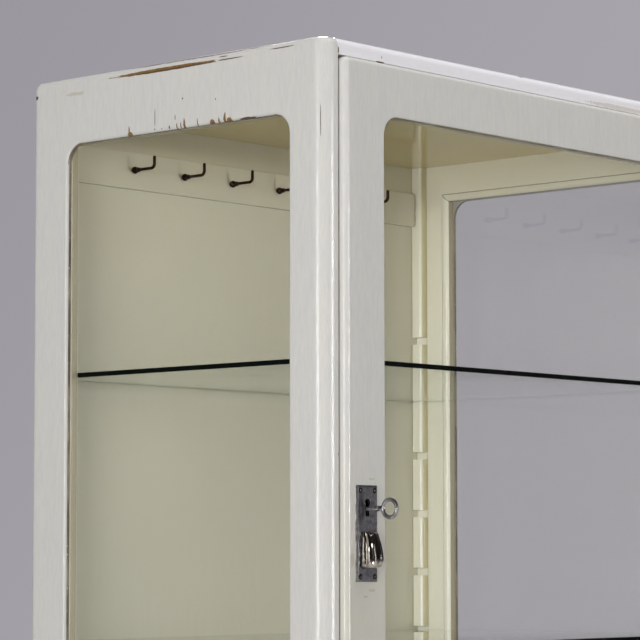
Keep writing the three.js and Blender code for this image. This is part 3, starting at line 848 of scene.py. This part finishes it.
def cutWindow(piece, pane, axis, lipPlane, inward):
    through = Vector((0, 0, 0))
    through[axis] = glazing["through"]
    across = Vector((1, 1, 1))
    across[axis] = 0
    low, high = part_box(pane)
    openLow, openHigh = grow(low, high, across * -glazing["cover"] + through)
    opening = startBox("opening", openLow, openHigh)
    roundEdges(opening, lambda a, b: along(a, b, axis), glazing["round"], 8)
    around = across * (glazing["rebate"] - glazing["cover"])
    stepLow, stepHigh = grow(low, high, around + through)
    if inward > 0:
        stepLow[axis] = lipPlane
    else:
        stepHigh[axis] = lipPlane
    rebate = startBox("rebate", stepLow, stepHigh)
    cutAway(piece, opening)
    cutAway(piece, rebate)
    return openLow, openHigh


def inOpening(point, low, high, axis, reach):
    for part in range(3):
        if part != axis and not low[part] - reach < point[part] < high[part] + reach:
            return False
    return True


def sheetPart(centre, normal, axis, back, low, high):  # 0 outside, 1 inside, 2 reveal
    depth = abs(centre[axis] - back)
    facing = abs(normal[axis]) > shaping["facing"]
    deepest, reach = glazing["lining"]
    if depth < deepest and inOpening(centre, low, high, axis, reach):
        return 1
    if depth < glazing["skin"] and facing:
        return 1
    if inOpening(centre, low, high, axis, glazing["slack"]) and not facing:
        return 2
    return 0


def roundLip(piece, low, high, axis, face, size):  # the painted edge round an opening
    def onLip(a, b):
        inside = inOpening((a + b) / 2, low, high, axis, glazing["slack"])
        return inside and flush(a, b, axis, face)

    roundEdges(piece, onLip, size, 5)


def frontEdgeTool(low, high, outward):  # what the larger round takes off in front
    size = sideSheet["frontEdge"]
    x = (low.x if outward < 0 else high.x) - outward * size
    y = low.y + size
    far = x + outward * (size + margin)
    corner = startBox(
        "corner", (min(x, far), low.y - margin, low.z - margin), (max(x, far), y, high.z + margin)
    )
    middle = (x, y, (low.z + high.z) / 2)
    length = high.z - low.z + sideSheet["frontSlack"]
    kept = startRod("round", size, length, middle, sides=96)
    roundEdges(kept, lambda a, b: not along(a, b, 2), sideSheet["edge"], 7)
    cutAway(corner, kept)
    return corner


def cutStrikeSeat(piece):  # room for the strike plate and the bolt
    seatLow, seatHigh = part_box("strike_plate")
    seat = startBox("strikeSeat", seatLow, seatHigh + Vector((sideSheet["seatOpen"], 0, 0)))
    fit = sideSheet["boltFit"]
    boltLow, boltHigh = grow(*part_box("lock_bolt"), (fit, fit, fit))
    slot = startBox(
        "boltSlot",
        boltLow - Vector((sideSheet["slotDeep"], 0, 0)),
        boltHigh - Vector((sideSheet["slotEnd"], 0, 0)),
    )
    cutAway(piece, seat)
    cutAway(piece, slot)


def makeSide(name, node, pane, outward, paint, lining):
    low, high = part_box(node)
    piece = startBox(name, low, high)
    face, back = (low.x, high.x) if outward < 0 else (high.x, low.x)
    roundEdges(piece, lambda a, b: along(a, b, 0), sideSheet["corner"], 7)
    roundEdges(piece, lambda a, b: flush(a, b, 0, face), sideSheet["edge"], 7)
    cutAway(piece, frontEdgeTool(low, high, outward))
    lipPlane = face - outward * glazing["lip"]
    openLow, openHigh = cutWindow(piece, pane, 0, lipPlane, -outward)
    if outward < 0:
        cutStrikeSeat(piece)
    roundLip(piece, openLow, openHigh, 0, face, sideSheet["lipRound"])
    softenEdges(piece, glazing["arris"])
    coat(
        piece,
        [paint, lining, revealGrimeAndShade],
        lambda centre, normal: sheetPart(centre, normal, 0, back, openLow, openHigh),
    )
    hang(piece, "case", "white_paint", node)


def makeDoor():
    low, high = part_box("door_sheet")
    piece = startBox("doorSheet", low, high)
    roundEdges(piece, lambda a, b: along(a, b, 1), doorSheet["corner"], 6)
    roundEdges(piece, lambda a, b: flush(a, b, 1, low.y), doorSheet["edge"], 7)
    openLow, openHigh = cutWindow(piece, "door_glass", 1, low.y + glazing["lip"], 1)
    fit, room = doorSheet["lockFit"], doorSheet["pocketOpen"]
    pocketLow, pocketHigh = grow(*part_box("lock_case"), (fit, fit, fit))
    pocket = startBox("pocket", pocketLow - Vector((room, 0, 0)), pocketHigh + Vector((0, room, 0)))
    cutAway(piece, pocket)
    past = keyhole["past"]
    cutAway(piece, keyholeTool("doorKeyhole", low.y - past, pocketLow.y + past))
    roundLip(piece, openLow, openHigh, 1, low.y, doorSheet["lipRound"])
    softenEdges(piece, glazing["arris"])

    def choose(centre, normal):
        if inKeyhole(centre, normal):
            return 3
        return sheetPart(centre, normal, 1, high.y, openLow, openHigh)

    coat(piece, [doorPaint, creamUpright, doorReveal, keyholeShade], choose)
    hang(piece, "door", "white_paint", "door_sheet")


makeSide("leftSideSheet", "left_side_sheet", "left_side_glass", -1, sidePaint, creamUpright)
# the right side's inside takes the lighter cream: painted light
makeSide("rightSideSheet", "right_side_sheet", "right_side_glass", 1, farSidePaint, litCreamPaint)
makeDoor()
print("side sheets and door made")


# decks: thick boards with a lip in front that the door closes behind
deck = {"lip": 0.017, "stop": -0.16975, "front": 0.008, "arris": 0.0007, "skin": 0.0006}


def makeDeck(name, node, up, paint, lining):
    low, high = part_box(node)
    piece = startBox(name, low, high)
    outer = high.z if up > 0 else low.z
    roundEdges(
        piece, lambda a, b: flush(a, b, 1, low.y) and flush(a, b, 2, outer), deck["front"], 8
    )
    stepLow, stepHigh = grow(low, high, (margin, margin, margin))
    stepHigh.y = deck["stop"]
    if up > 0:
        stepHigh.z = high.z - deck["lip"]
    else:
        stepLow.z = low.z + deck["lip"]
    cutAway(piece, startBox("step", stepLow, stepHigh))
    softenEdges(piece, deck["arris"])

    def choose(centre, normal):
        inside = (centre.z - outer) * up < -deck["lip"] - deck["skin"]
        return 1 if inside else 0

    coat(piece, [paint, lining], choose)
    hang(piece, "case", "white_paint", node)


makeDeck("topDeck", "top_deck", 1, litDeckPaint, creamCeilingBounce)
makeDeck("bottomDeck", "bottom_deck", -1, floorPaint, creamLying)


# pieces that keep the CAD form, with eased edges
eased = {
    "back": 0.0008, "leg": 0.0008, "bead": 0.0004, "rail": 0.0011, "apron": 0.002,
    "lockCase": 0.0003, "bolt": 0.0004, "plate": 0.0002,
}
backSkin = 0.001  # depth of what counts as the back's inner face


def makeEased(name, node, body, slot, finishes, width, steps=2, sharpest=35, choose=None):
    piece = nodeCopy(name, node)
    softenEdges(piece, width, steps, sharpest)
    coat(piece, finishes, choose)
    hang(piece, body, slot, node)


bead = {
    "seam": -0.02,  # below this, normal times way to the middle, a face looks at the sheet
    "roomward": 0.2, "paneThick": 0.01,
}


def makeBead(place, body, pane):  # lighter cream on its faces as painted light, a darker copy on the side towards the opening as painted shade
    low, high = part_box(pane)
    middle = (low + high) / 2
    flat = 0 if high.x - low.x < bead["paneThick"] else 1

    def choose(centre, normal):
        inward = middle - centre
        inward[flat] = 0
        if inward.dot(normal) < bead["seam"]:  # the seam beside the sheet, in the darker reveal tone: partly painted shade
            return 2
        roomward = math.copysign(1, centre[flat] - middle[flat]) * normal[flat]
        return 1 if roomward < bead["roomward"] and inward.dot(normal) > 0 else 0

    name, node = place + "Bead", place + "_bead"
    finishes = [litCreamPaint, shadedSillPaint, revealGrimeAndShade]
    makeEased(name, node, body, "cream_paint", finishes, eased["bead"], choose=choose)


def makeBack():
    node, finishes = "back_sheet", [backPaint, creamUpright]
    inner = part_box("back_sheet")[0].y

    def choose(centre, normal):
        return 1 if centre.y < inner + backSkin else 0

    makeEased("backSheet", node, "case", "cream_paint", finishes, eased["back"], choose=choose)


# posts: rounded strips with notches that carry the shelves
post = {
    "round": 0.0022, "frontRound": 0.0046, "web": 0.001, "arris": 0.0004, "first": 1.377,
    "pitch": 0.0693, "height": 0.0085, "count": 8,
    "side": 0.8,  # share of a normal that makes a face one of the sides
}


def makePost(name, node):
    low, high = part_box(node)
    piece = startBox(name, low, high)
    room = low.x if low.x > 0 else high.x  # the face towards the room
    for edge, radius in ((low.y, post["frontRound"]), (high.y, post["round"])):
        roundEdges(
            piece, lambda a, b: along(a, b, 2) and near(a.x, room) and near(a.y, edge), radius, 7
        )
    inner, outer = low.x - margin, high.x + margin
    if low.x > 0:
        outer = high.x - post["web"]
    else:
        inner = low.x + post["web"]
    for level in range(post["count"]):
        bottom = post["first"] - level * post["pitch"]
        notch = startBox(
            "notch",
            (inner, low.y - margin, bottom),
            (outer, high.y + margin, bottom + post["height"]),
        )
        cutAway(piece, notch)
    softenEdges(piece, post["arris"])
    # posts take the lighter cream as painted light, their front and back sides the darker copy as
    # painted shade
    coat(
        piece,
        [litCreamPaint, shadedPostSidePaint],
        lambda centre, normal: 1 if abs(normal.y) > post["side"] else 0,
    )
    hang(piece, "case", "cream_paint", node)


makeBack()
for spot in ("front_left", "back_left", "front_right", "back_right"):
    makePost(spot + "Post", spot + "_post")
    makeEased(spot + "Leg", spot + "_leg", "case", "white_paint", [standPaint], eased["leg"])
for spot in ("front", "back", "left", "right"):
    name, node = spot + "Apron", spot + "_apron"
    makeEased(name, node, "case", "white_paint", [standPaint], eased["apron"], 3)
for side in ("left_side", "right_side"):
    for edge in ("bottom", "front", "top", "rear"):
        makeBead(side + "_" + edge, "case", side + "_glass")
for edge in ("bottom", "right", "top", "left"):
    makeBead("door_" + edge, "door", "door_glass")
makeEased("hookRail", "hook_rail", "case", "cream_paint", [creamLying], eased["rail"], 3)
print("boards, posts, beads and stand made")


# panes and shelves
glassEdge = {"window": 0.0003, "shelf": 0.0005, "rim": 0.0004}


def makePane(name, node, body):
    piece = startBox(name, *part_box(node))
    softenEdges(piece, glassEdge["window"])
    coat(piece, [windowGlass])
    hang(piece, body, "window_glass", node)


def makeShelf(name, node):
    low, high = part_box(node)
    piece = startBox(name, low, high)
    softenEdges(piece, glassEdge["shelf"])
    rim = glassEdge["rim"]

    def choose(centre, normal):
        if centre.x < low.x + rim or centre.y < low.y + rim:
            return 1
        if centre.x > high.x - rim or centre.y > high.y - rim:
            return 2
        return 0

    # front and left edges take the painted shade, back and right edges the painted light
    coat(piece, [shelfGlass, shelfShadedEdge, shelfLitEdge], choose)
    hang(piece, "case", "shelf_glass", node)


makePane("leftPane", "left_side_glass", "case")
makePane("rightPane", "right_side_glass", "case")
makePane("doorPane", "door_glass", "door")
makeShelf("upperShelf", "upper_shelf")
makeShelf("lowerShelf", "lower_shelf")
print("glass made")


# hooks: a wire out of the rail with two knobs at its root, turned up at the end
hook = {
    "wire": 0.0017, "bend": 0.0046, "knob": 0.004, "knobFlat": 0.8, "neck": 0.0027,
    "neckStep": 0.0053, "sides": 16, "turns": 6, "blunt": 0.001,
    "tip": 0.6,  # share of the wire left at its end
    "smooth": 50,
}


def makeHook():
    low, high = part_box("hook_1")
    railLow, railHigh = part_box("hook_rail")
    x = (low.x + high.x) / 2
    level = (railLow.z + railHigh.z) / 2
    tip = low.y + hook["wire"]
    bend = hook["bend"]
    piece = startRing("hook1", hook["wire"], hook["sides"], (x, high.y, level), (quarter, 0, 0))
    pushOut(0, tip + bend - high.y, 0)
    for turn in range(hook["turns"]):
        start = quarter * turn / hook["turns"]
        end = quarter * (turn + 1) / hook["turns"]
        pushOut(
            0, -bend * (math.sin(end) - math.sin(start)), bend * (math.cos(start) - math.cos(end))
        )
        middle = (x, tip + bend * (1 - math.sin(end)), level + bend * (1 - math.cos(end)))
        bpy.ops.transform.rotate(
            value=quarter / hook["turns"], orient_axis="X", center_override=middle
        )
    pushOut(0, 0, high.z - hook["blunt"] - level - bend)
    pushOut(0, 0, hook["blunt"])
    bpy.ops.transform.resize(value=(hook["tip"], hook["tip"], 1), center_override=(x, tip, high.z))
    endPushing()
    root = railLow.y - hook["knob"] * hook["knobFlat"]
    squash = (1, hook["knobFlat"], 1)
    knob = startBall("knob", hook["knob"], (x, root, level), squash)
    neck = startBall("neck", hook["neck"], (x, root - hook["neckStep"], level))
    joinOn(piece, knob)
    joinOn(piece, neck)
    smoothFaces(piece, hook["smooth"])
    coat(piece, [hookBronze])
    hang(piece, "case", "bronzed_wire", "hook_1")
    return piece, x


firstHook, firstX = makeHook()
for number in range(2, 7):
    low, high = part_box("hook_%d" % number)
    shift = ((low.x + high.x) / 2 - firstX, 0, 0)
    twin = copyPiece(firstHook, "hook%d" % number, shift)
    hang(twin, "case", "bronzed_wire", "hook_%d" % number)
print("hooks made")


# lock plate with its keyhole and pins
plate = {
    "rim": 0.0006, "slope": 0.0022, "arris": 0.00025, "sharpest": 20,
    "rimTurn": -0.35,  # rim faces that look left at least this much get the lighter steel as a painted highlight
    "rimReach": 0.004, "pinArris": 0.00015, "pinSharpest": 50,
}


def makePlate():
    low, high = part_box("lock_plate")
    piece = startBox("lockPlate", low, high)
    slope = plate["slope"] - plate["rim"]
    roundEdges(piece, lambda a, b: flush(a, b, 1, low.y), slope, 1)
    past = keyhole["past"]
    cutAway(piece, keyholeTool("plateKeyhole", low.y - past, high.y + past))
    softenEdges(piece, plate["arris"], 2, plate["sharpest"])

    def choose(centre, normal):
        if inKeyhole(centre, normal):
            return 2
        onRim = centre.x < low.x + plate["rimReach"]
        return 1 if onRim and normal.x < plate["rimTurn"] else 0

    coat(piece, [plateSteel, plateRimHighlight, keyholeShade], choose)
    hang(piece, "door", "aged_steel", "lock_plate")


# grip: a half bulb with ribs that run down it
grip = {
    "ribs": 7, "ribSteps": 10, "groove": 0.87,
    "grooveSteps": ((0.5, 0.6), (0.8, 0.4)),  # from which share of the way, how deep
    "outline": [  # share of the height down, share of the reach
        (0.0, 0.44), (0.03, 0.56), (0.075, 0.63), (0.12, 0.66), (0.22, 0.745),
        (0.34, 0.835), (0.46, 0.905), (0.58, 0.96), (0.69, 0.995), (0.78, 0.99),
        (0.85, 0.95), (0.91, 0.87), (0.96, 0.73), (1.0, 0.42),
    ],
    "taper": 0.35, "ribTop": 0.05, "ribEnd": 0.88,
    "least": 0.05,  # smallest share that an angle is read from
    "smooth": 75,
}


def makeGrip():
    low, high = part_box("door_pull")
    x = (low.x + high.x) / 2
    face = high.y
    halfWidth = (high.x - low.x) / 2
    reach = high.y - low.y
    height = high.z - low.z
    outline = grip["outline"]

    def ringSize(share):
        return halfWidth * share ** grip["taper"], reach * share

    piece = startRing(
        "doorGrip",
        1,
        2 * grip["ribs"] * grip["ribSteps"],
        (x, face, high.z),
        stretch=(*ringSize(outline[0][1]), 1),
    )
    for before, after in zip(outline, outline[1:]):
        pushOut(0, 0, (before[0] - after[0]) * height)
        old, new = ringSize(before[1]), ringSize(after[1])
        bpy.ops.transform.resize(
            value=(new[0] / old[0], new[1] / old[1], 1),
            center_override=(x, face, high.z - after[0] * height),
        )
    endPushing()

    def groovePlace(point):  # 0 on top of a rib, 1 in the bottom of a groove
        share = math.hypot((point.x - x) / halfWidth, (face - point.y) / reach)
        wide, far = ringSize(min(1.0, max(grip["least"], share)))
        angle = math.atan2((face - point.y) / far, (point.x - x) / wide) % math.pi
        return 2 * abs((angle * grip["ribs"] / math.pi) % 1.0 - 0.5)

    for limit, depth in grip["grooveSteps"]:

        def inGroove(point):
            down = (high.z - point.z) / height
            ribbed = grip["ribTop"] < down < grip["ribEnd"]
            return ribbed and groovePlace(point) > limit

        pickPoints(piece, inGroove)
        sink = 1 - (1 - grip["groove"]) * depth
        bpy.ops.transform.resize(value=(sink, sink, 1), center_override=(x, face, high.z))
    selectWhole()
    bpy.ops.mesh.bisect(
        plane_co=(x, face, high.z), plane_no=(0, 1, 0), use_fill=True, clear_outer=True
    )
    setMode("OBJECT")
    smoothFaces(piece, grip["smooth"])
    coat(piece, [pullChrome])
    hang(piece, "door", "chromed_casting", "door_pull")


# key: a round bow, a turned collar, a shank and a bit with one ward
key = {
    "bow": 0.0085, "wire": 0.002, "wireFlat": 0.9, "shank": 0.0021, "shankEnd": 0.0007,
    "bowY": -0.22025,
    "collarStart": 0.6,  # share of the wire's radius
    "collars": [  # distance from the start, radius
        (0.0, 0.0012), (0.0008, 0.0022), (0.0016, 0.0027), (0.0026, 0.0024),
        (0.0046, 0.0024), (0.0058, 0.0029), (0.0068, 0.0027), (0.0072, 0.0017),
    ],
    "bit": (0.0022, 0.0042, 0.0067),
    "ward": (0.62, 0.38, 0.7),  # its two sides and its top, in shares of the bit
    "wardPast": 0.001, "arris": 0.00025, "sharpest": 50,
}


def makeCollar(x, start, z):
    collars = key["collars"]
    piece = startRing("collar", collars[0][1], 24, (x, start, z), (quarter, 0, 0))
    for before, after in zip(collars, collars[1:]):
        pushOut(0, after[0] - before[0], 0)
        swell = after[1] / before[1]
        bpy.ops.transform.resize(value=(swell, 1, swell), center_override=(x, start + after[0], z))
    endPushing()
    return piece


def makeBit(x, end, z):
    thick, deep, drop = key["bit"]
    front, rear, top = key["ward"]
    piece = startBox("bit", (x - thick / 2, end - deep, z - drop), (x + thick / 2, end, z))
    ward = startBox(
        "ward",
        (x - thick, end - deep * front, z - drop - key["wardPast"]),
        (x + thick, end - deep * rear, z - drop * top),
    )
    cutAway(piece, ward)
    return piece


def makeKey():
    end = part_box("key")[1].y
    x, z = keyAxis()
    clearSelection()
    bpy.ops.mesh.primitive_torus_add(
        location=(x, key["bowY"], z), rotation=(0, quarter, 0), major_segments=48,
        minor_segments=14, major_radius=key["bow"], minor_radius=key["wire"],
    )
    bpy.ops.transform.resize(value=(key["wireFlat"], 1, 1))
    piece = settle("key")
    root = key["bowY"] + key["bow"]
    collarStart = root + key["wire"] * key["collarStart"]
    collarEnd = collarStart + key["collars"][-1][0]
    length = end - root - key["wire"]
    middle = (x, (end + root + key["wire"]) / 2, z)
    shank = startRod("shank", key["shank"], length, middle, (quarter, 0, 0))
    roundEdges(shank, lambda a, b: flush(a, b, 1, end), key["shankEnd"], 2)
    collar = makeCollar(x, collarStart, z)
    joinOn(shank, makeBit(x, end, z))
    joinOn(shank, collar)
    joinOn(piece, shank)
    softenEdges(piece, key["arris"], 2, key["sharpest"])
    coat(piece, [keySteel, shankSteel], lambda centre, normal: 1 if centre.y > collarEnd else 0)
    hang(piece, "key", "bright_steel", "key")


makePlate()
for place in pinPlaces:
    name, node = "platePin_" + place, "plate_pin_" + place
    pinEdge = plate["pinArris"], 2, plate["pinSharpest"]
    makeEased(name, node, "door", "aged_steel", [pinSteel], *pinEdge)
makeGrip()
makeKey()
makeEased("lockCase", "lock_case", "door", "aged_steel", [lockSteelShaded], eased["lockCase"])
makeEased("lockBolt", "lock_bolt", "bolt", "bright_steel", [keySteel], eased["bolt"])
makeEased("strikePlate", "strike_plate", "case", "aged_steel", [plateSteel], eased["plate"])
print("lock, grip and key made")


# hinges
for level in ("upper", "lower"):
    for leaf, body in (("case_leaf", "case"), ("door_leaf", "door"), ("pin", "case")):
        node = "%s_hinge_%s" % (level, leaf)
        makeEased(node + "_eased", node, body, "aged_steel", [hingeSteel], eased["plate"])
print("hinges made")


# floor, world and lamps
stage = {
    "floor": shade(205, 204, 203), "floorCloud": shade(200, 199, 199),
    "floorBounce": shade(112, 110, 106), "floorSize": 24,
    "floorFade": (0.9, 3.6),  # distances between which the floor runs into the backdrop
    "floorRough": 0.8, "backdrop": shade(154, 152, 158),
    "backdropEnd": shade(167, 164, 171), "backdropTilt": -0.6,
    "backdropSpan": (-0.26, 0.03), "behindSpan": (0.3, 0.8),
    "throughGlass": 1.03,  # makes up for what the panes take away
    "room": shade(36, 35, 34),  # what shiny pieces reflect on the other sides
    "skyLight": (0.9, 0.91, 0.94, 1), "skyStrength": 0.17,
}


def makeFloor():
    clearSelection()
    bpy.ops.mesh.primitive_plane_add(size=stage["floorSize"], location=(0, 0, 0))
    floor = named("floor")
    finish, skin = startFinish("floor_paint")
    place = objectPlace()
    cloud = noise(place, 1.5, 3.0)
    pale = blend(cloud, stage["floor"], stage["floorCloud"])
    ways = newNode("LightPath").outputs
    bounced = ways["Is Diffuse Ray"]  # little light comes up from the floor
    colour = blend(bounced, pale, stage["floorBounce"])
    seen = calc("MAXIMUM", ways["Is Camera Ray"], ways["Is Transmission Ray"])
    distance = vector("LENGTH", place)
    far = ramp(distance, *stage["floorFade"])
    fade = calc("MULTIPLY", far, seen)
    colour = blend(fade, colour, (0, 0, 0, 1))
    link(colour, skin["Base Color"])
    link(fade, skin["Emission Strength"])
    link(stage["backdropEnd"], skin["Emission Color"])
    link(stage["floorRough"], skin["Roughness"])
    floor.data.materials.append(finish)


def makeWorld():
    world = bpy.data.worlds.new("studio")
    bpy.context.scene.world = world
    world.use_nodes = True
    workOn(world.node_tree)
    shown = newNode("OutputWorld")
    light = newNode("Background")
    feed(light, stage["skyLight"], stage["skyStrength"])
    seen = newNode("Background")
    ways = newNode("LightPath").outputs
    where = newNode("TexCoord").outputs["Generated"]
    sine, cosine = math.sin(view["yaw"]), math.cos(view["yaw"])
    aside = vector("DOT_PRODUCT", where, (cosine, -sine, stage["backdropTilt"]))
    across = ramp(aside, *stage["backdropSpan"])
    backdrop = blend(across, stage["backdrop"], stage["backdropEnd"])
    ahead = vector("DOT_PRODUCT", where, (sine, cosine, 0))
    behind = ramp(ahead, *stage["behindSpan"])
    away = calc("SUBTRACT", 1.0, behind)
    shadowed = calc("MULTIPLY", ways["Is Glossy Ray"], away)
    tone = blend(shadowed, backdrop, stage["room"])
    through = ways["Is Transmission Ray"]
    strength = ramp(through, 0.0, 1.0, 1.0, stage["throughGlass"])
    feed(seen, tone, strength)
    direct = calc("MAXIMUM", ways["Is Camera Ray"], ways["Is Glossy Ray"])
    direct = calc("MAXIMUM", direct, through)
    mixShader(direct, light.outputs[0], seen.outputs[0], shown.inputs[0])


# place, aim, width and height, watts, seen in matt surfaces, seen in shiny ones
lamps = {
    "leftLamp": ((-3.6, -0.2, 1.35), (0.1, 0, 1.3), (0.7, 0.7), 36, True, False),
    "leftShine": ((-3.6, -0.2, 1.25), (0, 0, 1.25), (0.55, 1.5), 29, False, True),
    "leftFill": ((-3.3, -1.3, 1.4), (0.1, 0, 1.3), (1.6, 1.6), 70, True, False),
    "cornerFill": ((-2.4, -3.0, 1.4), (0, 0, 1.3), (1.2, 1.2), 9, True, False),
    "frontLamp": ((0.7, -4.9, 1.35), (0, 0, 1.3), (0.18, 0.18), 46, True, False),
    "frontShine": ((1.3, -4.9, 1.35), (0, 0, 1.35), (0.5, 1.9), 82, False, True),
    "frontFill": ((1.2, -3.0, 1.3), (0, 0, 1.3), (1.6, 1.2), 18, True, False),
    "topLamp": ((0.6, -0.6, 3.8), (0.2, -0.1, 1.6), (2.4, 2.4), 68, True, False),
    "topSpot": ((1.16, 1.15, 3.31), (-0.32, -0.18, 1.62), (0.6, 0.6), 64, False, True),
    "backLamp": ((2.2, 3.6, 2.2), (0, 0, 1.1), (1.6, 1.6), 45, True, False),
}


def makeLamp(name, place, aim, size, watts, matt, shiny):
    clearSelection()
    turn = (Vector(aim) - Vector(place)).to_track_quat("-Z", "Y").to_euler()
    bpy.ops.object.light_add(type="AREA", location=place, rotation=turn)
    lamp = bpy.context.object
    lamp.name = name
    lamp.data.shape = "RECTANGLE"
    lamp.data.size, lamp.data.size_y = size
    lamp.data.energy = watts
    lamp.visible_diffuse = matt
    lamp.visible_glossy = shiny


makeFloor()
makeWorld()
for name, setting in lamps.items():
    makeLamp(name, *setting)
bpy.context.scene.view_settings.view_transform = "Standard"
print("stage and lamps set")
